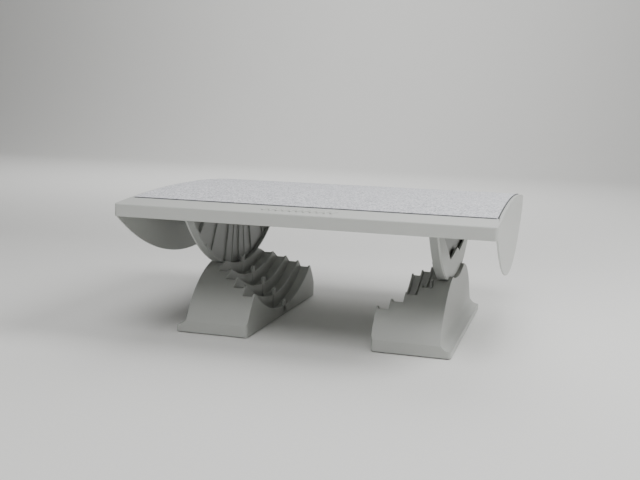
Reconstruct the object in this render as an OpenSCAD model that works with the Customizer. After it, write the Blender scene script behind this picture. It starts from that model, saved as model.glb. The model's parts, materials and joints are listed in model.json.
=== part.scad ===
// Rocking footrest: a crowned deck on two arched rockers, each seated in one of five
// arc-shaped slots of a stepped base. Millimetres, Z up, origin at the floor under the middle.
// The right-hand pieces are drawn and the left-hand ones are their mirror images.

/* [Deck] */
// Length of the deck, left to right
deck_len = 420; // [410:1:440]
// Depth of the deck, front to back
deck_depth = 390; // [370:1:400]
// Height of the skirt's lower edge above the floor, in the highest slots
deck_z = 141; // [139:0.5:145]
// Height of the skirt at the front and back edges
skirt_h = 14; // [13:0.5:18]
// Rise of the deck's crown above the skirt
crown_rise = 11.4; // [8:0.2:14]
// Wall thickness of the deck moulding
deck_wall = 2.6; // [2.2:0.1:3]
// Radius of the deck's corners, seen from above
corner_r = 4; // [3:0.5:6]

/* [Tread mat] */
// Width of the bare strip in front of and behind the mat
strip_w = 38; // [34:1:60]
// Thickness of the mat
mat_t = 2; // [1.6:0.1:3]
// Height of the mat above the deck's surface
mat_proud = 1; // [0.6:0.1:1.2]

/* [End panels] */
// Thickness of an end panel
panel_t = 1.8; // [1.6:0.1:2.4]
// Depth of an end panel's arc below the skirt
panel_drop = 62; // [40:1:66]

/* [Rockers] */
// Radius of the rocker's arc
rocker_r = 189; // [189:0.5:190]
// Distance from the middle of the deck to the rocker's inner face
rocker_x = 134; // [134:0.1:134.4]
// Thickness of the rocker with its cover
rocker_t = 11.7; // [11.4:0.1:11.8]
// Thickness of the rocker's rim
rim_t = 3; // [2.5:0.1:3.5]
// Angle between two radial ribs
rib_pitch = 14.6; // [14:0.1:15]
// Thickness of a radial rib
rib_t = 2.2; // [1.8:0.1:2.4]

/* [Bases] */
// Depth of a base, front to back
base_depth = 270; // [260:1:280]
// Height of a base's highest slot above the floor
seat_z = 63; // [62.5:0.1:63]
// Fall from one slot to the next
slot_step = 13.6; // [13:0.1:13.6]
// Width of a slot
slot_w = 12.2; // [12.1:0.1:12.3]
// Thickness of the lip between two slots
lip_t = 2.4; // [2.2:0.1:2.4]
// Height of a lip above its slot's floor
lip_h = 3.6; // [3:0.1:4]
// Height of a stop post above its lip
post_h = 8.4; // [6:0.1:9]
// Wall thickness of a base
base_wall = 2.4; // [2:0.1:2.6]

/* [Hidden] */

plastic = "#b4b6b2";
shade = "#9b9d9a";
mat_grey = "#c3c6ca";
rubber = "#3a3b3d";
steel = "#c9cbce";

round_fn = 96;
arc_fn = 360;
crown_fn = 720;
eps = 0.01;
play = 0.3;

// Deck: the crown is part of a cylinder that lies along X
shell_x = deck_len / 2 - panel_t;
crown_r = (pow(deck_depth / 2, 2) + pow(crown_rise, 2)) / (2 * crown_rise);
crown_z = deck_z + skirt_h + crown_rise - crown_r;
top_t = 2.8;
mat_y = deck_depth / 2 - strip_w;
mat_x = deck_len / 2 - 4;
mat_corner = 3;
flange_z = deck_z + 1;
flange_t = 3;
boss_foot_z = flange_z + flange_t;
deck_rib_z = deck_z + 10;
deck_rib_t = 1.8;
deck_rib_y = [-128, -64, 0, 64, 128];
deck_rib_x = [0, 50, 100, 180];
boss_r = 4.5;
screw_r = 1.5;
head_r = 3;
head_t = 1.6;
screw_gap = 0.2;

// A row of plain slanted bars, raised on the middle of the front strip
bar_count = 11;
bar_pitch = 7.6;
bar_len = 12;
bar_w = 3.4;
bar_slant = 25;
bar_rise = 0.5;
bar_y = deck_depth / 2 - strip_w / 2;

// End panels: set in the deck's sides behind its corners, with an arc as their lower edge
panel_y = deck_depth / 2 - corner_r - 0.5;
panel_r = (pow(panel_y, 2) + pow(panel_drop, 2)) / (2 * panel_drop);
panel_z = deck_z - panel_drop + panel_r;
panel_gap = 0.1;
panel_screw_y = [-96, -32, 32, 96];
panel_screw_z = deck_z + 8;
panel_boss_r = 2.4;
panel_boss_gap = 0.4;
panel_bore = 1;

// Rockers: every arc and rib is centred on one axis along X, and the deck rocks about it
axis_z = seat_z + play + rocker_r;
cover_t = 2.2;
cover_x = rocker_x + rocker_t - cover_t;
web_x = rocker_x + 4.6;
web_t = 2.2;
rib_rise = 1.8;
rib_r = rocker_r - rim_t / 2;
rib_count = 3;
notch_angle = 7;
notch_depth = 2.6;
relief_angle = 37;
relief_depth = 1;
stop_rib_rise = 0.8;
flange_x = [118, 160];
flange_y = 150;
rocker_screw_xy = [[125, 118], [153, 40]];
// The cover's window: its lower edge as a W of points [y, z], front to back
window = [[-109, 130], [-48, 96], [10, 103], [27, 96], [77, 104], [98, 130]];
peg_r = 2.5;
peg_h = 2.4;
peg_angles = [-40, -12, 12, 40];
peg_arc_r = 176;

// Bases: the front and back faces are arcs whose centres lie beyond the middle
slot_count = 5;
pitch = slot_w + lip_t;
slot_r = rocker_r + play;
slot_x = rocker_x - play + slot_w;
base_x_in = slot_x - slot_count * pitch;
wall_x = 150;
base_x_out = 162.6;
plinth_top = 8.5;
flare_r = 11;
plinth_front = 14;
base_z = 1;
face_r = 109.5;
face_c = [34.8, -31.5];
edge_lip_h = 6.6;
plan_r = 4;
post_y = [-4, 4];
post_back = 1;
post_reach = 2;
floor_t = 2.2;
floor_gap = 0.2;
base_screw_xy = [[94, 92], [146, 92]];
base_screw_top = 13;
foot_xy = [[88, 116], [148, 116]];
foot_r = 9;
foot_recess = 1;

// A rectangle with round corners, from two rectangles and four circles
module rounded_rect(width, depth, r) {
    square([width - 2 * r, depth], center = true);
    square([width, depth - 2 * r], center = true);
    for (i = [-1, 1], j = [-1, 1])
        translate([i * (width / 2 - r), j * (depth / 2 - r)])
            circle(r, $fn = round_fn);
}

// A rounded block standing on z0, centred at x
module rounded_block(x, width, depth, r, z0, z1) {
    translate([x, 0, z0])
        linear_extrude(z1 - z0)
            rounded_rect(width, depth, r);
}

// A cylinder along X from x0 to x1, with its axis at height z
module x_cylinder(r, x0, x1, z, fn = arc_fn) {
    translate([x0, 0, z])
        rotate([0, 90, 0])
            cylinder(r = r, h = x1 - x0, $fn = fn);
}

// A box from its two corners
module box(low, high) {
    translate(low)
        cube(high - low);
}

// A pan-head screw that points along +Z, with its head below z = 0
module screw(length) {
    translate([0, 0, -head_t])
        cylinder(r = head_r, h = head_t, $fn = 48);
    translate([0, 0, -eps])
        cylinder(r = screw_r, h = length + eps, $fn = 48);
}

// The solid under the crown, raised or lowered by rise
module under_crown(rise) {
    x_cylinder(crown_r + rise, -deck_len, deck_len, crown_z, crown_fn);
}

module deck_plan(z0, z1) {
    rounded_block(0, deck_len, deck_depth, corner_r, z0, z1);
}

// Places its children at each screw of both rockers
module at_rocker_screws(z) {
    for (side = [-1, 1], p = rocker_screw_xy, j = [-1, 1])
        translate([side * p[0], j * p[1], z])
            children();
}

module deck_ribs() {
    for (y = deck_rib_y)
        box([-shell_x, y - deck_rib_t / 2, deck_rib_z], [shell_x, y + deck_rib_t / 2, axis_z]);
    for (x = deck_rib_x, side = [-1, 1])
        box([side * x - deck_rib_t / 2, -deck_depth / 2, deck_rib_z],
            [side * x + deck_rib_t / 2, deck_depth / 2, axis_z]);
    at_rocker_screws(boss_foot_z)
        cylinder(r = boss_r, h = skirt_h + crown_rise, $fn = 48);
}

module deck_hollow() {
    intersection() {
        rounded_block(0, 2 * (shell_x - deck_wall), deck_depth - 2 * deck_wall,
            corner_r - deck_wall, deck_z - 1, axis_z);
        under_crown(-top_t);
    }
}

module deck_shell() color(plastic) {
    difference() {
        intersection() {
            deck_plan(deck_z, axis_z);
            under_crown(0);
        }
        for (side = [-1, 1])
            translate([side * deck_len / 2, 0, deck_z])
                cube([2 * panel_t, 2 * panel_y, axis_z], center = true);
        difference() {
            deck_hollow();
            deck_ribs();
        }
        difference() {
            rounded_block(0, 2 * mat_x + 0.4, 2 * mat_y + 0.4, mat_corner + 0.2, deck_z, axis_z);
            under_crown(mat_proud - mat_t);
        }
        at_rocker_screws(boss_foot_z - 1)
            cylinder(r = screw_r, h = 12, $fn = 48);
        for (y = panel_screw_y)
            translate([0, y, 0])
                x_cylinder(panel_boss_r + screw_gap, -deck_len, deck_len, panel_screw_z, 48);
    }
}

module tread_mat() color(mat_grey) {
    difference() {
        intersection() {
            rounded_block(0, 2 * mat_x, 2 * mat_y, mat_corner, deck_z, axis_z);
            under_crown(mat_proud);
        }
        under_crown(mat_proud - mat_t);
    }
}

module grip_bars() color(plastic) {
    difference() {
        intersection() {
            for (i = [0 : bar_count - 1])
                translate([(i - (bar_count - 1) / 2) * bar_pitch, -bar_y, axis_z / 2])
                    rotate([0, 0, -bar_slant])
                        cube([bar_w, bar_len, axis_z], center = true);
            under_crown(bar_rise);
        }
        under_crown(0);
    }
}

module end_panel() color(plastic) {
    reach = panel_y - panel_gap;
    difference() {
        union() {
            intersection() {
                box([shell_x, -reach, 0], [deck_len / 2, reach, axis_z]);
                x_cylinder(panel_r, shell_x, deck_len / 2, panel_z);
                under_crown(0);
            }
            for (y = panel_screw_y)
                translate([0, y, 0])
                    x_cylinder(panel_boss_r, shell_x - deck_wall + panel_boss_gap, shell_x + eps, panel_screw_z, 48);
        }
        for (y = panel_screw_y)
            translate([0, y, 0])
                x_cylinder(screw_r, 0, shell_x + panel_bore, panel_screw_z, 48);
    }
}

module end_panel_screws() color(steel) {
    for (side = [0, 1], y = panel_screw_y)
        mirror([side, 0, 0])
            translate([shell_x - deck_wall, y, panel_screw_z])
                rotate([0, 90, 0])
                    screw(deck_wall + panel_bore - screw_gap);
}

// A radial plate from the axis down to radius r, a degrees towards the back
module radial_plate(a, r, x0, x1) {
    translate([0, 0, axis_z])
        rotate([a, 0, 0])
            box([x0, -rib_t / 2, -r], [x1, rib_t / 2, -r / 3]);
}

// The gap in the rim where a stop post stands, with ends that face along the arc
module rim_notch() {
    reach = 2 * rocker_r;
    difference() {
        translate([rocker_x - 1, 0, axis_z])
            rotate([90, 0, 90])
                linear_extrude(notch_depth + 1)
                    polygon([[0, 0], reach * [-sin(notch_angle), -cos(notch_angle)],
                        reach * [sin(notch_angle), -cos(notch_angle)]]);
        x_cylinder(rocker_r - rim_t - 1, 0, deck_len, axis_z);
    }
}

// What is cut from the rim's inner face above the reach of the slots, at both ends
module rim_relief() {
    reach = 2 * rocker_r;
    difference() {
        for (side = [-1, 1])
            translate([rocker_x - 1, 0, axis_z])
                rotate([90, 0, 90])
                    linear_extrude(relief_depth + 1)
                        polygon([[0, 0], reach * [side * sin(relief_angle), -cos(relief_angle)],
                            [side * reach, 0]]);
        x_cylinder(rocker_r - rim_t - 1, 0, deck_len, axis_z);
    }
}

module rocker_pegs(r, h) {
    for (a = peg_angles)
        translate([cover_x - h, peg_arc_r * sin(a), axis_z - peg_arc_r * cos(a)])
            rotate([0, 90, 0])
                cylinder(r = r, h = h + eps, $fn = 48);
}

// The rim, the web set back from its inner face, and what stands on the web
module rocker_disc() {
    difference() {
        x_cylinder(rocker_r, rocker_x, cover_x, axis_z);
        x_cylinder(rocker_r - rim_t, 0, deck_len, axis_z);
    }
    x_cylinder(rocker_r - rim_t / 2, web_x, web_x + web_t, axis_z);
    for (i = [1 - rib_count : rib_count - 1])
        radial_plate(i * rib_pitch, rib_r, web_x - rib_rise, web_x + eps);
    for (side = [-1, 1]) {
        radial_plate(side * rib_count * rib_pitch, rib_r, rocker_x + 0.2, web_x + eps);
        radial_plate(side * notch_angle, rib_r, web_x - stop_rib_rise, web_x + eps);
    }
    for (a = peg_angles)
        translate([web_x + eps, peg_arc_r * sin(a), axis_z - peg_arc_r * cos(a)])
            rotate([0, 90, 0])
                cylinder(r = peg_r + 2, h = cover_x - web_x - eps, $fn = 48);
}

module rocker() color(shade) {
    difference() {
        union() {
            intersection() {
                box([0, -deck_depth, 0], [deck_len, deck_depth, flange_z + eps]);
                rocker_disc();
            }
            rounded_block((flange_x[0] + flange_x[1]) / 2, flange_x[1] - flange_x[0], 2 * flange_y, 4,
                flange_z, boss_foot_z);
        }
        rim_notch();
        rim_relief();
        rocker_pegs(peg_r, peg_h);
        for (p = rocker_screw_xy, j = [-1, 1])
            translate([p[0], j * p[1], flange_z - 1])
                cylinder(r = screw_r + screw_gap, h = flange_t + 2, $fn = 48);
    }
}

module rocker_cover() color(plastic) {
    difference() {
        intersection() {
            box([0, -deck_depth, 0], [deck_len, deck_depth, flange_z]);
            x_cylinder(rocker_r - 0.2, cover_x, rocker_x + rocker_t, axis_z);
        }
        translate([cover_x - 1, 0, 0])
            rotate([90, 0, 90])
                linear_extrude(cover_t + 2)
                    polygon(concat([[window[0][0] - 12, axis_z]], window, [[window[5][0] + 12, axis_z]]));
    }
    rocker_pegs(peg_r, peg_h - 0.4);
}

module rocker_screws() color(steel) {
    at_rocker_screws(flange_z)
        screw(flange_t + 9);
}

// Outline of a base seen from the side, drawn in [y, z] and shrunk by inset
module side_outline(inset) {
    r = face_r - inset;
    low = asin((plinth_front - face_c[1]) / r);
    square_y = face_c[0] + r * cos(low);
    for (j = [0, 1])
        mirror([j, 0])
            polygon(concat([[-eps, base_z], [square_y, base_z]],
                [for (i = [0 : 24]) face_c + r * [cos(low + i * (90 - low) / 24), sin(low + i * (90 - low) / 24)]],
                [[-eps, face_c[1] + r]]));
}

module side_prism(x0, x1, inset) {
    translate([x0, 0, 0])
        rotate([90, 0, 90])
            linear_extrude(x1 - x0)
                side_outline(inset);
}

// The outer form: an upright body on a wider plinth, joined by a hollow flare
module base_form() {
    mid_x = (base_x_in + base_x_out) / 2;
    intersection() {
        side_prism(base_x_in, base_x_out, 0);
        rounded_block(mid_x, base_x_out - base_x_in, base_depth, plan_r, 0, axis_z);
        difference() {
            box([base_x_in, -base_depth, 0], [base_x_out, base_depth, axis_z]);
            translate([wall_x + flare_r, base_depth, plinth_top + flare_r])
                rotate([90, 0, 0])
                    cylinder(r = flare_r, h = 2 * base_depth, $fn = round_fn);
            box([wall_x + flare_r, -base_depth, plinth_top], [deck_len, base_depth, axis_z]);
            box([wall_x, -base_depth, plinth_top + flare_r], [deck_len, base_depth, axis_z]);
        }
    }
}

// What is cut away over the slots and the lips, with every arc grown by extra
module step_cuts(extra) {
    x_cylinder(slot_r - edge_lip_h + extra, slot_x - eps, deck_len, axis_z);
    for (k = [0 : slot_count - 1]) {
        z = axis_z - k * slot_step;
        x = slot_x - k * pitch;
        x_cylinder(slot_r + extra, x - slot_w - extra, x + extra, z);
        x_cylinder(slot_r - lip_h + extra, x - pitch - extra - eps, x - slot_w + eps, z);
    }
}

// The space inside, under the steps, with the screw posts left standing
module base_hollow() {
    difference() {
        intersection() {
            side_prism(base_x_in + base_wall, wall_x - base_wall, base_wall);
            rounded_block((base_x_in + wall_x) / 2, wall_x - base_x_in - 2 * base_wall,
                base_depth - 2 * base_wall, plan_r - base_wall, 0, axis_z);
        }
        step_cuts(base_wall);
        for (p = base_screw_xy, j = [-1, 1])
            translate([p[0], j * p[1], base_z + floor_t])
                cylinder(r = boss_r, h = axis_z, $fn = 48);
    }
}

// Where the floor plate sits in the base's lower edge
module floor_plan(gap, z0, z1) {
    rounded_block((base_x_in + base_x_out) / 2, base_x_out - base_x_in - 2 * (base_wall + gap),
        base_depth - 2 * (base_wall + gap), plan_r - base_wall, z0, z1);
}

// A post on each lip, with a stub at its foot that stands in the slot
module stop_posts() {
    for (k = [0 : slot_count - 1]) {
        x = slot_x - k * pitch - slot_w;
        z = axis_z - k * slot_step - slot_r + lip_h;
        back = k < slot_count - 1 ? post_back : 0;
        foot = max(base_z + floor_t, z - slot_step - lip_h - 0.5);
        box([x - lip_t - back, post_y[0], foot], [x, post_y[1], z + post_h]);
        box([x - lip_t / 2, post_y[0], foot], [x + post_reach, post_y[1], z]);
    }
}

module base() color(plastic) {
    difference() {
        union() {
            difference() {
                base_form();
                step_cuts(0);
            }
            stop_posts();
        }
        base_hollow();
        floor_plan(0, 0, base_z + floor_t);
        for (p = base_screw_xy, j = [-1, 1])
            translate([p[0], j * p[1], 0])
                cylinder(r = screw_r, h = base_screw_top, $fn = 48);
    }
}

module base_floor() color(shade) {
    difference() {
        floor_plan(floor_gap, base_z, base_z + floor_t);
        for (p = base_screw_xy, j = [-1, 1])
            translate([p[0], j * p[1], 0]) {
                cylinder(r = head_r + screw_gap, h = base_z + head_t, $fn = 48);
                cylinder(r = screw_r + screw_gap, h = base_z + 2 * floor_t, $fn = 48);
            }
        for (p = foot_xy, j = [-1, 1])
            translate([p[0], j * p[1], 0])
                cylinder(r = foot_r, h = base_z + foot_recess, $fn = round_fn);
    }
}

module base_screws() color(steel) {
    for (p = base_screw_xy, j = [-1, 1])
        translate([p[0], j * p[1], base_z + head_t])
            screw(base_screw_top - base_z - head_t - 1);
}

// One rubber foot of the right base, outer 0 or 1, side -1 at the front or 1 at the back
module foot(outer, side) color(rubber) {
    translate([foot_xy[outer][0], side * foot_xy[outer][1], 0])
        cylinder(r = foot_r, h = base_z + foot_recess, $fn = round_fn);
}

module left() {
    mirror([1, 0, 0])
        children();
}

deck_shell();
tread_mat();
grip_bars();
left() end_panel();  // end_panel_left
end_panel();  // end_panel_right
end_panel_screws();
left() rocker();  // rocker_left
rocker();  // rocker_right
left() rocker_cover();  // rocker_cover_left
rocker_cover();  // rocker_cover_right
rocker_screws();
left() base();  // base_left
base();  // base_right
left() base_floor();  // base_floor_left
base_floor();  // base_floor_right
left() base_screws();  // base_screws_left
base_screws();  // base_screws_right
left() foot(1, -1);  // foot_left_front_outer
left() foot(0, -1);  // foot_left_front_inner
left() foot(1, 1);  // foot_left_back_outer
left() foot(0, 1);  // foot_left_back_inner
foot(1, -1);  // foot_right_front_outer
foot(0, -1);  // foot_right_front_inner
foot(1, 1);  // foot_right_back_outer
foot(0, 1);  // foot_right_back_inner
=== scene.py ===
import json
import math

import bmesh
import bpy
import numpy as np
from mathutils import Matrix, Vector


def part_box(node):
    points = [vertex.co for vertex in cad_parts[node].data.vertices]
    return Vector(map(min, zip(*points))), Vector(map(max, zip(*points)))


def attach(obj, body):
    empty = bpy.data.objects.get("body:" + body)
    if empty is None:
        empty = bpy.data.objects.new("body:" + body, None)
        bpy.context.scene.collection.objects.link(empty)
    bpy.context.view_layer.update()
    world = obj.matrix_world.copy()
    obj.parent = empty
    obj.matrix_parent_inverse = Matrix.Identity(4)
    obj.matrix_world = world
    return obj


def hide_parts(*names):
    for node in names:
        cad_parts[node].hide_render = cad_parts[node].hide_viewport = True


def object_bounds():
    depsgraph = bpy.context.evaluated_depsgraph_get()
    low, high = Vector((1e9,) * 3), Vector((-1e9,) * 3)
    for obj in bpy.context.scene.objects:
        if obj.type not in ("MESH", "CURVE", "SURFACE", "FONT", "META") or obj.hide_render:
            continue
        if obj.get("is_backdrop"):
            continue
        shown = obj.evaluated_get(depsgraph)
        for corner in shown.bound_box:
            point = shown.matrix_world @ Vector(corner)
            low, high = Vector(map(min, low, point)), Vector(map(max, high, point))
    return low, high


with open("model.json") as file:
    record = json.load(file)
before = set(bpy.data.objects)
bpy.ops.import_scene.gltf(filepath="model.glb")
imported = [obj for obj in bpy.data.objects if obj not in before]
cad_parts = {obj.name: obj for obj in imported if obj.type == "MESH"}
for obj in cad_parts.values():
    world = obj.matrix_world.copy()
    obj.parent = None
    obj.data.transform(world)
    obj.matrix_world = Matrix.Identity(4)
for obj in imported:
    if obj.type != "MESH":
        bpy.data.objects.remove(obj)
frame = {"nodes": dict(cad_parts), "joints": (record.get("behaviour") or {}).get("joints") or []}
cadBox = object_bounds()
print("frame loaded:", len(frame["nodes"]), "nodes")

mm = 0.001


# camera and lights
def placeCamera():
    place = {
        "spot": (0.2798, -1.0605, 0.2602),              # metres
        "yaw": 16.157, "pitch": 8.193, "roll": 1.662,   # degrees to the left, down and over
        "lens": 49.41, "sensor": 36.0,                  # millimetres
    }
    yaw, pitch, roll = (math.radians(place[key]) for key in ("yaw", "pitch", "roll"))
    ahead = Vector((-math.sin(yaw) * math.cos(pitch), math.cos(yaw) * math.cos(pitch), -math.sin(pitch)))
    right = Vector((math.cos(yaw), math.sin(yaw), 0))
    up = right.cross(ahead)
    rightTurned = math.cos(roll) * right + math.sin(roll) * up
    upTurned = math.cos(roll) * up - math.sin(roll) * right
    data = bpy.data.cameras.new("camera")
    data.lens, data.sensor_width = place["lens"], place["sensor"]
    camera = bpy.data.objects.new("camera", data)
    turn = Matrix((rightTurned, upTurned, -ahead)).transposed().to_4x4()
    camera.matrix_world = Matrix.Translation(place["spot"]) @ turn
    bpy.context.scene.collection.objects.link(camera)
    bpy.context.scene.camera = camera


def addLight(name, spot, aim, size, power):
    data = bpy.data.lights.new(name, "AREA")
    data.shape, data.size, data.energy = "DISK", size, power
    light = bpy.data.objects.new(name, data)
    light.location = spot
    light.rotation_euler = (Vector(aim) - Vector(spot)).to_track_quat("-Z", "Y").to_euler()
    bpy.context.scene.collection.objects.link(light)


placeCamera()
# spot, what it points at, size in metres, power in watts
studio = {
    "front": ((0.3, -1.2, 1.8), (0, 0, 0.1), 1.2, 24),
    "right": ((1.2, 0.0, 1.3), (0, 0, 0.1), 0.8, 24),
    "back": ((0, 1.2, 1.8), (0, 0, 0.1), 1.5, 15),
    "low": ((-0.1, -2.2, 0.5), (0, 0, 0.1), 0.5, 4),
    "backdrop": ((-0.8, 1.6, 2.0), (-1.0, 3.6, 0.9), 1.5, 60),
}
worldStrength = 0.12
for name, (spot, aim, size, power) in studio.items():
    addLight(name, spot, aim, size, power)
world = bpy.data.worlds.new("studio")
bpy.context.scene.world = world
world.use_nodes = True
background = world.node_tree.nodes["Background"]
background.inputs["Color"].default_value = (1, 1, 1, 1)
background.inputs["Strength"].default_value = worldStrength
print("camera and lights placed")


# sizes read from the frame, in millimetres
def nodeBox(name):
    low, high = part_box(name)
    return np.array(low) / mm, np.array(high) / mm


deckLow, deckHigh = nodeBox("deck_shell")
panelLow, panelHigh = nodeBox("end_panel_right")
rockerLow, rockerHigh = nodeBox("rocker_right")
baseLow, baseHigh = nodeBox("base_right")
matHigh = nodeBox("tread_mat")[1]
coverHigh = nodeBox("rocker_cover_right")[1]
axisZ = frame["joints"][0]["pos_m"][2] / mm
print("axis of the arcs at", axisZ, "mm")


# materials
def toLinear(hexColour):
    # sRGB hex to linear red, green, blue and alpha
    parts = [int(hexColour[i:i + 2], 16) / 255 for i in (1, 3, 5)]
    return tuple(c / 12.92 if c <= 0.04045 else ((c + 0.055) / 1.055) ** 2.4 for c in parts) + (1.0,)


def addNode(tree, kind, settings=None, links=None):
    # one node with its settings and what feeds it: sockets by name or number
    node = tree.nodes.new(kind)
    for key, value in (settings or {}).items():
        if isinstance(key, str) and hasattr(node, key):
            setattr(node, key, value)
        else:
            node.inputs[key].default_value = value
    for key, source in (links or {}).items():
        tree.links.new(source, node.inputs[key])
    return node


def newMaterial(name):
    material = bpy.data.materials.new(name)
    material.use_nodes = True
    tree = material.node_tree
    shader = tree.nodes["Principled BSDF"]
    place = addNode(tree, "ShaderNodeTexCoord").outputs["Object"]
    return material, tree, shader, place


def perMillimetre(size):
    # a pattern's scale from its real size in millimetres
    return 1 / (size * mm)


def satinAbs(name, hexColour, roughness=0.42):
    # injection-moulded ABS with a fine spark-eroded texture: an even satin with a soft highlight
    look = {
        "grain": 0.7,       # millimetres; the real grain of 0.1 is too fine to show
        "cloud": 60.0,      # millimetres, of a faint unevenness in the colour
        "spread": 0.035,    # share by which the colour lightens and darkens
        "smoother": 0.05, "rougher": 0.07, "bump": 0.12, "depth": 0.05,
    }
    material, tree, shader, place = newMaterial(name)
    grain = addNode(tree, "ShaderNodeTexNoise",
                    {"Scale": perMillimetre(look["grain"]), "Detail": 2.0}, {"Vector": place})
    cloud = addNode(tree, "ShaderNodeTexNoise",
                    {"Scale": perMillimetre(look["cloud"]), "Detail": 3.0}, {"Vector": place})
    base = toLinear(hexColour)
    dark = tuple(c * (1 - look["spread"]) for c in base[:3]) + (1,)
    light = tuple(min(1, c * (1 + look["spread"])) for c in base[:3]) + (1,)
    tint = addNode(tree, "ShaderNodeMix",
                   {"data_type": "RGBA", 6: dark, 7: light}, {0: cloud.outputs["Fac"]})
    rough = addNode(tree, "ShaderNodeMapRange",
                    {"To Min": roughness - look["smoother"], "To Max": roughness + look["rougher"]},
                    {"Value": grain.outputs["Fac"]})
    bump = addNode(tree, "ShaderNodeBump",
                   {"Strength": look["bump"], "Distance": look["depth"] * mm},
                   {"Height": grain.outputs["Fac"]})
    tree.links.new(tint.outputs[2], shader.inputs["Base Color"])
    tree.links.new(rough.outputs[0], shader.inputs["Roughness"])
    tree.links.new(bump.outputs[0], shader.inputs["Normal"])
    shader.inputs["IOR"].default_value = 1.53
    return material


def speckledRubber(name):
    # bound rubber granulate, calendered: light and dark crumbs in a pale cool grey, with painted shade in a
    # band round its border that stands in for the shadowed groove at its edge
    look = {
        # edge is the colour of the painted shade round the border, border the width of that band
        "base": "#d0d1d6", "dark": "#a9abb0", "light": "#ebebee", "edge": "#66686b",
        "crumb": 1.5, "fine": 0.8, "border": 0.5,       # millimetres
        "crumbDepth": 0.15, "fineDepth": 0.1,           # millimetres
        "crumbBump": 0.35, "fineBump": 0.2,
    }
    stops = [(0.0, "dark"), (0.16, "dark"), (0.24, "base"), (0.74, "base"), (0.84, "light"), (1.0, "light")]
    material, tree, shader, place = newMaterial(name)
    apart = addNode(tree, "ShaderNodeSeparateXYZ", {}, {0: place})
    # painted shade: a mask of the band within border of the mat's outline, where the groove at its edge lies
    # in shadow
    shadeBandSides = []
    for axis, half in ((0, matHigh[0]), (1, matHigh[1])):
        away = addNode(tree, "ShaderNodeMath", {"operation": "ABSOLUTE"}, {0: apart.outputs[axis]})
        limit = (half - look["border"]) * mm
        past = addNode(tree, "ShaderNodeMath", {"operation": "GREATER_THAN", 1: limit}, {0: away.outputs[0]})
        shadeBandSides.append(past.outputs[0])
    edge = addNode(tree, "ShaderNodeMath", {"operation": "MAXIMUM"}, {0: shadeBandSides[0], 1: shadeBandSides[1]})
    crumb = addNode(tree, "ShaderNodeTexVoronoi", {"Scale": perMillimetre(look["crumb"])}, {"Vector": place})
    grey = addNode(tree, "ShaderNodeSeparateColor", {}, {0: crumb.outputs["Color"]})
    ramp = addNode(tree, "ShaderNodeValToRGB", {}, {"Fac": grey.outputs[0]})
    ramp.color_ramp.interpolation = "LINEAR"
    while len(ramp.color_ramp.elements) < len(stops):
        ramp.color_ramp.elements.new(0.5)
    for element, (spot, key) in zip(ramp.color_ramp.elements, stops):
        element.position, element.color = spot, toLinear(look[key])
    fine = addNode(tree, "ShaderNodeTexNoise",
                   {"Scale": perMillimetre(look["fine"]), "Detail": 3.0}, {"Vector": place})
    bump = addNode(tree, "ShaderNodeBump",
                   {"Strength": look["crumbBump"], "Distance": look["crumbDepth"] * mm},
                   {"Height": crumb.outputs["Distance"]})
    fineBump = addNode(tree, "ShaderNodeBump",
                       {"Strength": look["fineBump"], "Distance": look["fineDepth"] * mm},
                       {"Height": fine.outputs["Fac"], "Normal": bump.outputs[0]})
    # the band takes the edge colour, a painted shade of the groove's shadow
    tint = addNode(tree, "ShaderNodeMix", {"data_type": "RGBA", 7: toLinear(look["edge"])},
                   {0: edge.outputs[0], 6: ramp.outputs["Color"]})
    tree.links.new(tint.outputs[2], shader.inputs["Base Color"])
    tree.links.new(fineBump.outputs[0], shader.inputs["Normal"])
    shader.inputs["Roughness"].default_value = 0.85
    return material


def mouldedRubber(name):
    # compression-moulded rubber: near black, matt, with a dusty mottle
    look = {"base": "#242527", "dust": "#3a3b3d", "mottle": 4.0}
    material, tree, shader, place = newMaterial(name)
    mottle = addNode(tree, "ShaderNodeTexNoise",
                     {"Scale": perMillimetre(look["mottle"]), "Detail": 4.0}, {"Vector": place})
    tint = addNode(tree, "ShaderNodeMix",
                   {"data_type": "RGBA", 6: toLinear(look["base"]), 7: toLinear(look["dust"])},
                   {0: mottle.outputs["Fac"]})
    tree.links.new(tint.outputs[2], shader.inputs["Base Color"])
    shader.inputs["Roughness"].default_value = 0.8
    return material


def zincSteel(name):
    # cold-headed steel with zinc plating: a pale metal, unevenly brushed
    look = {"base": "#b9bcc0", "scratch": 0.3, "smooth": 0.28, "rough": 0.45}
    material, tree, shader, place = newMaterial(name)
    scratch = addNode(tree, "ShaderNodeTexNoise",
                      {"Scale": perMillimetre(look["scratch"]), "Detail": 3.0}, {"Vector": place})
    rough = addNode(tree, "ShaderNodeMapRange",
                    {"To Min": look["smooth"], "To Max": look["rough"]}, {"Value": scratch.outputs["Fac"]})
    tree.links.new(rough.outputs[0], shader.inputs["Roughness"])
    shader.inputs["Base Color"].default_value = toLinear(look["base"])
    shader.inputs["Metallic"].default_value = 1.0
    return material


def paperSweep(name):
    # matt backdrop paper: pale and even, with a barely seen fibre
    look = {"base": "#e9e9e7", "fibre": "#e4e4e1", "size": 3.0}
    material, tree, shader, place = newMaterial(name)
    fibre = addNode(tree, "ShaderNodeTexNoise",
                    {"Scale": perMillimetre(look["size"]), "Detail": 2.0}, {"Vector": place})
    tint = addNode(tree, "ShaderNodeMix",
                   {"data_type": "RGBA", 6: toLinear(look["base"]), 7: toLinear(look["fibre"])},
                   {0: fibre.outputs["Fac"]})
    tree.links.new(tint.outputs[2], shader.inputs["Base Color"])
    shader.inputs["Roughness"].default_value = 0.95
    return material


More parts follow.
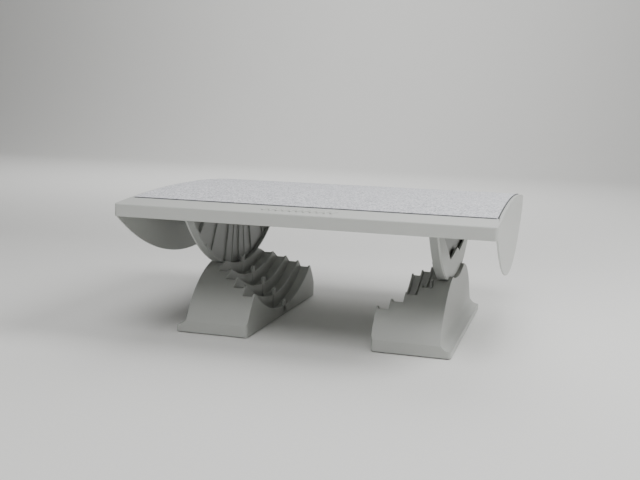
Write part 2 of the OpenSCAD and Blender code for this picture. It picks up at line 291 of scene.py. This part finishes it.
materials = {
    "deck": satinAbs("moulded ABS deck", "#bec0bc"),
    "rocker": satinAbs("moulded ABS rocker", "#989a97"),
    "base": satinAbs("moulded ABS base", "#b0b2ae"),
    "inner": satinAbs("moulded polypropylene floor", "#7c7e7b", 0.55),
    "mat": speckledRubber("speckled granulate rubber"),
    "rubber": mouldedRubber("moulded rubber"),
    "steel": zincSteel("zinc-plated steel"),
}
print("materials made")

meshing = {"merge": 0.002, "bevelSegments": 3, "bevelAngle": 50}    # millimetres, count, degrees


# a part is a pair: its points in millimetres and its four-sided faces
def makePiece(name, parts, material, body, replaced, smoothAngle=35, bevel=0):
    # joins the parts in one mesh, merges doubles and turns the faces outwards
    mesh = bpy.data.meshes.new(name)
    points, faces, start = [], [], 0
    for pts, quads in parts:
        points.append(pts)
        faces.append(quads + start)
        start += len(pts)
    points = np.concatenate(points) * mm
    faces = np.concatenate(faces)
    mesh.vertices.add(len(points))
    mesh.vertices.foreach_set("co", points.astype(np.float32).ravel())
    mesh.loops.add(faces.size)
    mesh.loops.foreach_set("vertex_index", faces.astype(np.int32).ravel())
    mesh.polygons.add(len(faces))
    mesh.polygons.foreach_set("loop_start", np.arange(0, faces.size, 4, dtype=np.int32))
    mesh.update(calc_edges=True)
    work = bmesh.new()
    work.from_mesh(mesh)
    bmesh.ops.remove_doubles(work, verts=work.verts, dist=meshing["merge"] * mm)
    bmesh.ops.dissolve_degenerate(work, edges=work.edges, dist=meshing["merge"] * mm)
    bmesh.ops.recalc_face_normals(work, faces=work.faces)
    work.to_mesh(mesh)
    work.free()
    mesh.shade_smooth()
    mesh.set_sharp_from_angle(angle=math.radians(smoothAngle))
    piece = bpy.data.objects.new(name, mesh)
    if bevel:
        rounder = piece.modifiers.new("edges", "BEVEL")
        rounder.limit_method, rounder.angle_limit = "ANGLE", math.radians(meshing["bevelAngle"])
        rounder.width, rounder.segments = bevel * mm, meshing["bevelSegments"]
    even = piece.modifiers.new("normals", "WEIGHTED_NORMAL")
    even.keep_sharp = True
    bpy.context.scene.collection.objects.link(piece)
    mesh.materials.append(material)
    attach(piece, body)
    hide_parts(*replaced)


def gridQuads(rows, cols, closed=False):
    # quads between neighbouring rows of a grid; closed joins the last column to the first
    i, j = np.meshgrid(np.arange(rows - 1), np.arange(cols if closed else cols - 1), indexing="ij")
    a = i * cols + j
    b = i * cols + (j + 1) % cols
    return np.stack([a, b, b + cols, a + cols], axis=-1).reshape(-1, 4)


def roundedLoop(halfX, halfY, radius, alongX=8, alongY=8, corner=8):
    # a rectangle with round corners, as one closed loop of points from four sides and four arcs
    t = np.linspace(0, math.pi / 2, corner)
    arc = np.stack([np.cos(t), np.sin(t)], axis=1) * radius
    cx, cy = halfX - radius, halfY - radius
    sideY = np.linspace(-cy, cy, alongY + 1)[1:-1]
    sideX = np.linspace(-cx, cx, alongX + 1)[1:-1]
    right = np.stack([np.full_like(sideY, halfX), sideY], axis=1)
    top = np.stack([-sideX, np.full_like(sideX, halfY)], axis=1)

    def quarter(turn, x, y):
        return arc @ np.array([[math.cos(turn), math.sin(turn)], [-math.sin(turn), math.cos(turn)]]) + (x, y)

    return np.concatenate([
        right, quarter(0, cx, cy), top, quarter(math.pi / 2, -cx, cy),
        -right, quarter(math.pi, -cx, -cy), -top, quarter(1.5 * math.pi, cx, -cy)])


def loft(rings):
    # a closed shell through loops of equal length, shut at both ends by a pole at the loop's middle
    rings = [np.asarray(ring, float) for ring in rings]
    poles = [np.broadcast_to(ring.mean(axis=0), ring.shape) for ring in (rings[0], rings[-1])]
    rings = [poles[0], *rings, poles[1]]
    return np.concatenate(rings), gridQuads(len(rings), len(rings[0]), closed=True)


def withHeight(loop, z):
    return np.column_stack([loop, np.broadcast_to(z, len(loop))])


def roundedBlock(low, high, corner, edge):
    # a block with round upright corners and a rounded upper edge: loops stacked from its foot to its top
    low, high = np.array(low, float), np.array(high, float)
    half, mid = (high - low) / 2, (high + low) / 2
    along, cornerPoints, edgeSteps, leastCorner = 2, 5, 4, 0.05
    rings = [withHeight(roundedLoop(half[0], half[1], corner, along, along, cornerPoints), low[2])]
    for a in np.linspace(0, math.pi / 2, edgeSteps):
        inset = edge * (1 - math.cos(a))
        radius = max(corner - inset, leastCorner)
        loop = roundedLoop(half[0] - inset, half[1] - inset, radius, along, along, cornerPoints)
        rings.append(withHeight(loop, high[2] - edge * (1 - math.sin(a))))
    pts, quads = loft(rings)
    return pts + (mid[0], mid[1], 0), quads


def turnAboutAxis(part, degrees):
    # turns a part about the axis of the arcs; positive carries its foot to the back
    pts, quads = part
    cos, sin = math.cos(math.radians(degrees)), math.sin(math.radians(degrees))
    y, z = pts[:, 1], pts[:, 2] - axisZ
    return np.column_stack([pts[:, 0], y * cos - z * sin, axisZ + y * sin + z * cos]), quads


def onSide(side, parts):
    # parts are worked out for the right side and mirrored for the left
    return parts if side == "right" else [(pts * (-1, 1, 1), quads[:, ::-1]) for pts, quads in parts]


# the deck, in millimetres
deck = {
    "skirt": 14.0, "wall": 2.6, "top": 3.2,                 # height of the skirt, thickness of wall and top
    "corner": 4.0, "edge": 1.4, "edgeSide": 0.15,           # the upper edge is tighter at the two sides
    "foot": 0.6, "footSide": 0.5,
    "innerCorner": 1.4, "mouthCorner": 1.6, "mouth": 0.3,
    "recess": 1.9, "gap": 0.8, "rimDrop": 0.15,             # the mat's recess and the gap around the mat
    "panel": 1.8, "panelEnd": 4.5,                          # the step in each side for the end panel
}
mat = {"corner": 3.0, "edge": 0.7, "proud": 1.0, "chamfer": 0.2, "lift": 0.02}
# points along each side and in each corner, the same in every ring of the deck and the mat
ringPoints = {"alongX": 8, "alongY": 40, "corner": 8}
deckX, halfDepth = panelHigh[0], deckHigh[1]
crownRise = deckHigh[2] - deckLow[2] - deck["skirt"]
crownR = (halfDepth ** 2 + crownRise ** 2) / (2 * crownRise)


def crown(y):
    # height of the deck's upper surface, an arc across the depth
    return deckHigh[2] - crownR + np.sqrt(crownR ** 2 - np.asarray(y) ** 2)


def deckRing(halfX, halfY, radius):
    return roundedLoop(halfX, halfY, radius, **ringPoints)


def crownFill(halfX, halfY, radius, drop, steps, outward):
    # loops that shrink from an outline to the middle, laid on the crown
    loops = []
    for share in np.linspace(1, 0.02, steps):
        loop = deckRing(halfX, halfY, radius) * share
        loops.append(withHeight(loop, crown(loop[:, 1]) - drop))
    return loops[::-1] if outward else loops


def deckLoop(inset, insetX, radius):
    # the deck's outline, stepped in along its two sides where the end panels stand
    stepEase = 3.0
    reach, x = halfDepth - deck["panelEnd"], deckX - deck["panel"] - insetX
    loop = deckRing(deckX - insetX, halfDepth - inset, radius)
    count = ringPoints["alongY"] - 1
    sideY = np.concatenate([[-reach], np.linspace(stepEase - reach, reach - stepEase, count - 2), [reach]])
    leftStart = count + 2 * ringPoints["corner"] + ringPoints["alongX"] - 1
    for start, sign in ((0, 1), (leftStart, -1)):
        loop[start:start + count] = np.column_stack([np.full(count, sign * x), sign * sideY])
    return loop


def deckShell():
    # from the recess's floor out over the rim, down the skirt, round its foot and back under the top
    d = deck
    matX, matY, matCorner = matHigh[0] + d["gap"], matHigh[1] + d["gap"], mat["corner"] + d["gap"]
    rings = crownFill(matX, matY, matCorner, d["recess"], 18, True)
    rim = deckRing(matX, matY, matCorner)
    rings.append(withHeight(rim, crown(rim[:, 1]) - d["rimDrop"]))
    rings.append(withHeight(rim * (1, 1.001), crown(rim[:, 1])))
    for a in np.linspace(0, math.pi / 2, 6):
        inset, fall = d["edge"] * (1 - math.sin(a)), d["edge"] * (1 - math.cos(a))
        ring = deckLoop(inset, d["edgeSide"] * inset, d["corner"] - inset)
        rings.append(withHeight(ring, crown(ring[:, 1]) - fall))
    for a in np.linspace(0, math.pi / 2, 4):
        inset, rise = d["foot"] * (1 - math.cos(a)), d["foot"] * (1 - math.sin(a))
        ring = deckLoop(inset, d["footSide"] * inset, d["corner"] - inset)
        rings.append(withHeight(ring, deckLow[2] + rise))
    innerX, innerY = deckX - d["panel"] - d["wall"], halfDepth - d["wall"]
    mouth = deckRing(innerX + d["mouth"], innerY + d["mouth"], d["mouthCorner"])
    rings.append(withHeight(mouth, deckLow[2]))
    rings.append(withHeight(deckRing(innerX, innerY, d["innerCorner"]), deckLow[2] + d["mouth"]))
    return loft(rings + crownFill(innerX, innerY, d["innerCorner"], d["top"], 18, False))


deckRibs = {
    "thick": 1.8, "foot": deckLow[2] + 10, "sunk": 1.5, "least": 1.0, "intoWall": 0.3, "clear": 3.0,
    "alongX": (-128, -64, 0, 64, 128),                      # Y of each rib that runs along X
    "alongY": (-180, -100, -50, 0, 50, 100, 180),           # X of each rib that runs along Y
}


def ribProfile(foot, top):
    # a strip with a half-round lower edge, from its foot up into the deck's top
    half, a = deckRibs["thick"] / 2, np.linspace(0, math.pi, 7)
    across = np.concatenate([half * np.cos(a), [-half, half]])
    return across, np.concatenate([foot + half - half * np.sin(a), [top, top]])


def ribAlongY(x):
    r, rings = deckRibs, []
    for y in np.linspace(r["clear"] - halfDepth, halfDepth - r["clear"], 41):
        top = crown(y) - r["sunk"]
        across, up = ribProfile(min(r["foot"], top - r["least"]), top)
        rings.append(np.column_stack([across + x, np.full_like(across, y), up]))
    return loft(rings)


def ribAlongX(y):
    across, up = ribProfile(deckRibs["foot"], crown(y) - deckRibs["sunk"])
    end = deckX - deck["panel"] - deck["wall"] + deckRibs["intoWall"]
    return loft([np.column_stack([np.full_like(across, x), across + y, up]) for x in (-end, end)])


def deckBosses():
    # screw bosses over the rockers' flanges
    boss = {"spots": ((125, 118), (153, 40)), "radius": 4.5, "corner": 4.4, "edge": 0.05}
    r, foot, parts = boss["radius"], rockerHigh[2], []
    spots = [(i * x, j * y) for i in (-1, 1) for x, y in boss["spots"] for j in (-1, 1)]
    for x, y in spots:
        top = crown(y) - deckRibs["sunk"]
        parts.append(roundedBlock((x - r, y - r, foot), (x + r, y + r, top), boss["corner"], boss["edge"]))
    return parts


ribs = [ribAlongX(y) for y in deckRibs["alongX"]] + [ribAlongY(x) for x in deckRibs["alongY"]]
makePiece("deck", [deckShell()] + ribs + deckBosses(), materials["deck"], "deck",
          ["deck_shell"])
print("deck made")


def treadMat():
    # a sheet that lies on the crown, with a rounded upper edge
    m, (halfX, halfY) = mat, matHigh[:2]
    rings = crownFill(halfX - m["chamfer"], halfY - m["chamfer"], m["corner"] - m["chamfer"],
                      deck["recess"] - m["lift"], 4, True)
    loop = deckRing(halfX, halfY, m["corner"])
    rings.append(withHeight(loop, crown(loop[:, 1]) - deck["recess"] + m["chamfer"]))
    for a in np.linspace(0, math.pi / 2, 6):
        inset, fall = m["edge"] * (1 - math.cos(a)), m["edge"] * (1 - math.sin(a))
        loop = deckRing(halfX - inset, halfY - inset, m["corner"] - inset)
        rings.append(withHeight(loop, crown(loop[:, 1]) + m["proud"] - fall))
    top = crownFill(halfX - m["edge"], halfY - m["edge"], m["corner"] - m["edge"], -m["proud"], 20, False)
    return loft(rings + top[1:])


makePiece("mat", [treadMat()], materials["mat"], "deck", ["tread_mat"])
print("mat made")


def gripBars():
    # plain slanted bars that follow the crown of the front strip
    g = {"count": 11, "pitch": 7.6, "long": 12.0, "wide": 3.4, "slant": -25.0, "rise": 0.9, "sunk": 0.6,
         "corner": 0.8, "edge": 0.25, "y": -176.0}
    cos, sin = math.cos(math.radians(g["slant"])), math.sin(math.radians(g["slant"]))
    low, high = (-g["wide"] / 2, -g["long"] / 2, -g["sunk"]), (g["wide"] / 2, g["long"] / 2, g["rise"])
    parts = []
    for i in range(g["count"]):
        pts, quads = roundedBlock(low, high, g["corner"], g["edge"])
        x = pts[:, 0] * cos - pts[:, 1] * sin + (i - (g["count"] - 1) / 2) * g["pitch"]
        y = pts[:, 0] * sin + pts[:, 1] * cos + g["y"]
        parts.append((np.column_stack([x, y, crown(y) + pts[:, 2]]), quads))
    return parts


makePiece("grip", gripBars(), materials["deck"], "deck", ["grip_bars"])
print("grip bars made")


def plate(shape, across, down, x0, x1):
    # shape(u, v) gives Y and Z over the unit square; its sheets at x0 and x1 are joined around their border
    y, z = shape(*np.meshgrid(np.linspace(0, 1, across), np.linspace(0, 1, down), indexing="ij"))
    sheets = [np.column_stack([np.full(y.size, x), y.ravel(), z.ravel()]) for x in (x0, x1)]
    grid, spot = gridQuads(across, down), np.arange(y.size).reshape(across, down)
    border = np.concatenate([spot[0], spot[1:, -1], spot[-1, -2::-1], spot[-2:0:-1, 0]])
    after = np.roll(border, -1)
    wall = np.column_stack([border, after, after + y.size, border + y.size])
    return np.concatenate(sheets), np.concatenate([grid, grid[:, ::-1] + y.size, wall])


# the end panels, set in the deck's sides
panel = {"drop": deckLow[2] - panelLow[2], "bevel": 0.6, "gap": 0.1, "sideGap": 0.05}
panelY = halfDepth - deck["panelEnd"] - panel["gap"]
panelR = (panelY ** 2 + panel["drop"] ** 2) / (2 * panel["drop"])


def panelShape(u, v):
    # between the crown above and a circle's arc below, front to back
    y = -panelY * np.cos(math.pi * u)
    low = panelLow[2] + panelR - np.sqrt(panelR ** 2 - y ** 2)
    return y, crown(y) * (1 - v) + low * v


for side in ("left", "right"):
    part = plate(panelShape, 90, 12, deckX - deck["panel"] + panel["sideGap"], deckX)
    makePiece("end_" + side, onSide(side, [part]), materials["deck"], "deck",
              ["end_panel_" + side], bevel=panel["bevel"])
print("end panels made")

# the rockers, in millimetres and degrees
rocker = {
    "radius": 189.0, "rim": 3.0, "rimAcross": 9.5, "edge": 0.6, "reach": 54.4,
    "webBack": 4.6, "web": 2.2, "overlap": 0.5,                     # the web behind the rim's inner face
    "rib": 2.2, "rise": 1.8, "pitch": 14.6, "ribCorner": 0.3, "ribEdge": 0.6, "intoRim": 0.4,
    "notch": 7.0, "notchDepth": 2.6, "notchRib": 1.6, "notchRise": 0.8,
    "relief": 37.0, "reliefDepth": 1.0, "reliefRise": 0.35, "step": 0.06,
    "flangeHalf": 150.0, "flangeCorner": 4.0, "flangeEdge": 0.4,
    "flangeUp": 1.0, "webUp": 1.2, "ribUp": 2.0, "ribBack": 0.2,    # how far each stands inside its neighbour
    "cover": 2.2,
}
rimX = (coverHigh[0] - rocker["cover"] - rocker["rimAcross"], coverHigh[0] - rocker["cover"])
webX = rimX[0] + rocker["webBack"]


def rockerRim():
    # a rounded rectangle carried along the arc; its inner face steps back at the stop post and at both ends
    r = rocker
    loop = roundedLoop(r["rimAcross"] / 2, r["rim"] / 2, r["edge"], 3, 2, 4)
    loop = loop + ((rimX[0] + rimX[1]) / 2, r["radius"] - r["rim"] / 2)
    steps = [s * (a + d) for s in (-1, 1) for a in (r["notch"], r["relief"]) for d in (-r["step"], r["step"])]
    angles = np.unique(np.concatenate([np.linspace(-r["reach"], r["reach"], 120), steps]))
    rings = []
    for degrees in angles:
        a = math.radians(degrees)
        inNotch, pastRelief = abs(degrees) < r["notch"], abs(degrees) > r["relief"]
        cut = r["notchDepth"] * inNotch + r["reliefDepth"] * pastRelief
        x = np.maximum(loop[:, 0], rimX[0] + cut)
        away = loop[:, 1] + r["reliefRise"] * pastRelief
        rings.append(np.column_stack([x, away * math.sin(a), axisZ - away * math.cos(a)]))
    return loft(rings)


def segmentDisc(radius, x0, x1, top):
    # a thin disc's segment under the height top, lofted between its two faces
    arcPoints, chordPoints = 120, 20
    reach = math.acos((axisZ - top) / radius)
    a = np.linspace(-reach, reach, arcPoints)
    arc = np.column_stack([radius * np.sin(a), axisZ - radius * np.cos(a)])
    across = np.linspace(arc[-1, 0], arc[0, 0], chordPoints + 2)[1:-1]
    chord = np.column_stack([across, np.full(chordPoints, top)])
    loop = np.concatenate([arc, chord])
    return loft([np.column_stack([np.full(len(loop), x), loop]) for x in (x0, x1)])


def radialRib(degrees, fromX, toX, thick):
    # a bar along a radius, from under the deck to the rim, with its rounded edge towards the middle
    r = rocker
    inner = (axisZ - deckLow[2] - r["ribUp"]) / math.cos(math.radians(degrees))
    outer = r["radius"] - r["rim"] + r["intoRim"]
    edge = min(r["ribEdge"], thick / 2.5)
    pts, quads = roundedBlock((-thick / 2, inner, 0), (thick / 2, outer, fromX - toX), r["ribCorner"], edge)
    flat = np.column_stack([fromX - pts[:, 2], pts[:, 0], axisZ - pts[:, 1]])
    return turnAboutAxis((flat, quads), degrees)


def rockerParts():
    # rim, web, the ribs over the web, a full-depth rib near each end, two at the notch, and the flange
    r = rocker
    back, low, half = webX + r["overlap"], deckLow[2] + r["flangeUp"], r["flangeHalf"]
    web = segmentDisc(r["radius"] - r["rim"] / 2, webX, webX + r["web"], deckLow[2] + r["webUp"])
    parts = [rockerRim(), web]
    parts += [radialRib(i * r["pitch"], back, webX - r["rise"], r["rib"]) for i in (-2, -1, 0, 1, 2)]
    parts += [radialRib(i * r["pitch"], back, rimX[0] + r["ribBack"], r["rib"]) for i in (-3, 3)]
    parts += [radialRib(s * r["notch"], back, webX - r["notchRise"], r["notchRib"]) for s in (-1, 1)]
    parts.append(roundedBlock((rockerLow[0], -half, low), (rockerHigh[0], half, rockerHigh[2]),
                              r["flangeCorner"], r["flangeEdge"]))
    return parts


for side in ("left", "right"):
    makePiece("rocker_arc_" + side, onSide(side, rockerParts()), materials["rocker"], "deck",
              ["rocker_" + side])
print("rockers made")

# the cover's upper edge as Y and Z, from front to back: flat under the deck, then down and up as a W
cover = {
    "edge": [(-151, 141.6), (-120, 141.6), (-109, 130), (-48, 96), (10, 103),
             (27, 96), (77, 104), (98, 130), (107, 141.6), (151, 141.6)],
    "radius": rocker["radius"] - 0.2, "bevel": 0.5,
}


def coverShape(u, v):
    # from the W-shaped upper edge down to the rocker's arc
    radius, knots = cover["radius"], np.array(cover["edge"], float)
    run = np.concatenate([[0], np.cumsum(np.hypot(*np.diff(knots, axis=0).T))])
    run /= run[-1]
    topY, topZ = np.interp(u, run, knots[:, 0]), np.interp(u, run, knots[:, 1])
    a = math.acos((axisZ - knots[0, 1]) / radius) * (2 * u - 1)
    return topY * (1 - v) + radius * np.sin(a) * v, topZ * (1 - v) + (axisZ - radius * np.cos(a)) * v


for side in ("left", "right"):
    part = plate(coverShape, 161, 6, rimX[1], coverHigh[0])
    makePiece("rocker_face_" + side, onSide(side, [part]), materials["deck"], "deck",
              ["rocker_cover_" + side], bevel=cover["bevel"])
print("rocker covers made")

# the stepped bases, in millimetres
step = {
    "slots": 5, "fall": 13.6, "slot": 12.2, "slotR": 189.3, "slotX": 145.9, "fillet": 0.6,
    "lip": 2.4, "lipRise": 3.6, "edgeLipRise": 6.6, "round": 0.5,
    "wallX": 150.0, "flare": 11.0, "ledge": 8.5,            # outer wall, and its flare down to the ledge
    "faceR": 109.5, "faceC": (34.8, -31.5), "blend": 1.6,   # arcs of the front and back faces
    "corner": 4.0, "wall": 2.4, "footEdge": 0.5, "skirtDrop": 0.4, "along": 0.9,
    "postHalf": 4.0, "postReach": 2.0, "postRise": 8.4, "postBack": 1.0, "postCorner": 0.7, "postEdge": 0.6,
    "postSunk": 0.5, "postInto": 0.05, "postUnder": 0.1,
}
stepPitch = step["slot"] + step["lip"]
baseInner, baseOuter = step["slotX"] - step["slots"] * stepPitch, baseHigh[0]


def quarterRound(x, size, towards, centre=0, radius=0, grow=0, flat=999, rise=0, drop=0, steps=5):
    # columns of one rounded edge: X, arc centre's height, arc radius, flat height, the face's drop
    a = np.linspace(0, math.pi / 2, steps)[::towards]
    away = size * (1 - np.sin(a))
    x = x + towards * size * (1 - np.cos(a))
    return np.column_stack([x, np.full(steps, centre), radius + grow * away, flat + rise * away, drop * away])


def baseColumns():
    # from the innermost lip out to the edge lip, down the flare and to the ledge's rim
    s, cols = step, []
    lipR, edgeLipR = s["slotR"] - s["lipRise"], s["slotR"] - s["edgeLipRise"]
    for k in range(s["slots"] - 1, -1, -1):
        centre, right = axisZ - k * s["fall"], s["slotX"] - k * stepPitch
        left = right - stepPitch
        innermost = int(k == s["slots"] - 1)
        cols += [
            quarterRound(left, s["round"], 1, centre, lipR, 1, drop=innermost),
            quarterRound(left + s["lip"], s["round"], -1, centre, lipR, 1),
            quarterRound(left + s["lip"], s["fillet"], 1, centre, s["slotR"], -1),
            quarterRound(right, s["fillet"], -1, centre, s["slotR"], -1),
        ]
    cols += [
        quarterRound(s["slotX"], s["round"], 1, axisZ, edgeLipR, 1),
        quarterRound(s["wallX"], s["round"], -1, axisZ, edgeLipR, 1, drop=1),
        quarterRound(s["wallX"], s["flare"], 1, flat=s["ledge"], rise=1, steps=12),
        quarterRound(baseOuter, s["round"], -1, flat=s["ledge"], rise=-1),
    ]
    return np.concatenate(cols)


def baseBody():
    # height over X and Y: the lower of the column's arc and the front and back faces, softly blended
    s, halfY, foot = step, baseHigh[1], baseLow[2]
    ends = halfY - s["corner"] + s["corner"] * np.sin(np.linspace(0, math.pi / 2, 9))
    half = np.concatenate([np.arange(0, halfY - s["corner"] - s["along"] / 3, s["along"]), ends])
    y = np.concatenate([-half[:0:-1], half])[None, :]
    x, centre, radius, flat, drop = (column[:, None] for column in baseColumns().T)
    arc = np.where(radius > 0, centre - np.sqrt(np.maximum(radius ** 2 - y ** 2, 0)), flat)
    lean = np.maximum(np.abs(y) - s["faceC"][0], 0)
    face = s["faceC"][1] + np.sqrt(np.maximum((s["faceR"] - drop) ** 2 - lean ** 2, 0))
    near = np.maximum(s["blend"] - np.abs(arc - face), 0) / s["blend"]
    z = np.minimum(arc, face) - near ** 2 * s["blend"] / 4
    # round upright corners: the ends of X draw in along a quarter circle
    past = np.maximum(np.abs(y) - (halfY - s["corner"]), 0)
    inset = s["corner"] - np.sqrt(np.maximum(s["corner"] ** 2 - past ** 2, 0))
    x = np.clip(np.broadcast_to(x, z.shape), baseInner + inset, baseOuter - inset)
    top = np.stack([x, np.broadcast_to(y, z.shape), z], axis=-1)
    rows, width = z.shape
    # the walls: the top's border carried down, round the foot, inwards under it and shut at the middle
    loop = np.concatenate([top[:, 0], top[-1, 1:], top[-2::-1, -1], top[0, -2:0:-1]])
    mid = np.array([(baseInner + baseOuter) / 2, 0])
    size = np.array([(baseOuter - baseInner) / 2, halfY])
    edge, wall = s["footEdge"], s["wall"]
    skirt = [loop, loop - (0, 0, s["skirtDrop"])]
    for gap, rise in ((0, edge), (0.3 * edge, 0.3 * edge), (edge, 0), (wall, 0), (wall, wall)):
        skirt.append(withHeight(mid + (loop[:, :2] - mid) * (size - gap) / size, foot + rise))
    skirt.append(np.broadcast_to(np.array([mid[0], 0, foot + wall]), loop.shape))
    points = np.concatenate([top.reshape(-1, 3), *skirt])
    walls = gridQuads(len(skirt), len(loop), closed=True) + rows * width
    return [(points, np.concatenate([gridQuads(rows, width), walls]))]


def stopPosts():
    # on each lip a rounded post, and across it a lower stub that reaches into the slot
    s, parts = step, []
    half, corner, edge = s["postHalf"], s["postCorner"], s["postEdge"]
    for k in range(s["slots"]):
        x = s["slotX"] - k * stepPitch - s["slot"]
        lipTop = axisZ - k * s["fall"] - s["slotR"] + s["lipRise"]
        back = s["postBack"] if k < s["slots"] - 1 else 0
        foot = max(baseLow[2] + s["wall"] - s["postUnder"], lipTop - s["fall"] - s["lipRise"] - s["postSunk"])
        post = (x - s["lip"] - back, -half, foot), (x + s["postInto"], half, lipTop + s["postRise"])
        stub = (x - s["lip"] / 2, -half, foot), (x + s["postReach"], half, lipTop)
        parts += [roundedBlock(*post, corner, edge), roundedBlock(*stub, corner, edge)]
    return parts


for side in ("left", "right"):
    makePiece("base_body_" + side, onSide(side, baseBody() + stopPosts()), materials["base"],
              "base_" + side, ["base_" + side], smoothAngle=40)
print("bases made")

# every node gets a finish, and those that a piece replaces get the deck's
for name, node in frame["nodes"].items():
    if "screws" in name:
        look = materials["steel"]
    elif name.startswith("foot_"):
        look = materials["rubber"]
    elif name.startswith("base_floor"):
        look = materials["inner"]
    else:
        look = materials["deck"]
    node.data.materials.clear()
    node.data.materials.append(look)


def backdropSheet():
    # a sheet of paper that lies flat, bends up behind along a quarter circle and stands upright
    paper = {"half": 6.0, "front": -6.0, "bend": 3.0, "radius": 1.2, "top": 4.0}    # metres
    a = np.linspace(0, math.pi / 2, 17)
    y = np.concatenate([[paper["front"]], paper["bend"] + paper["radius"] * np.sin(a)])
    z = np.concatenate([[0], paper["radius"] * (1 - np.cos(a))])
    y, z = np.append(y, y[-1]), np.append(z, paper["top"])
    rows = [np.column_stack([np.full(len(y), x), y, z]) for x in (-paper["half"], paper["half"])]
    mesh = bpy.data.meshes.new("floor")
    first = np.arange(len(y) - 1)
    quads = np.column_stack([first, first + len(y), first + len(y) + 1, first + 1])
    mesh.from_pydata(np.concatenate(rows).tolist(), [], quads.tolist())
    mesh.shade_smooth()
    return mesh


floor = bpy.data.objects.new("floor", backdropSheet())
bpy.context.scene.collection.objects.link(floor)
floor.data.materials.append(paperSweep("matt backdrop paper"))
floor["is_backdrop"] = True

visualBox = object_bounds()
growth = [round((visualBox[i][j] - cadBox[i][j]) / mm, 2) for i in (0, 1) for j in (0, 1, 2)]
print("box grew by", growth, "mm")
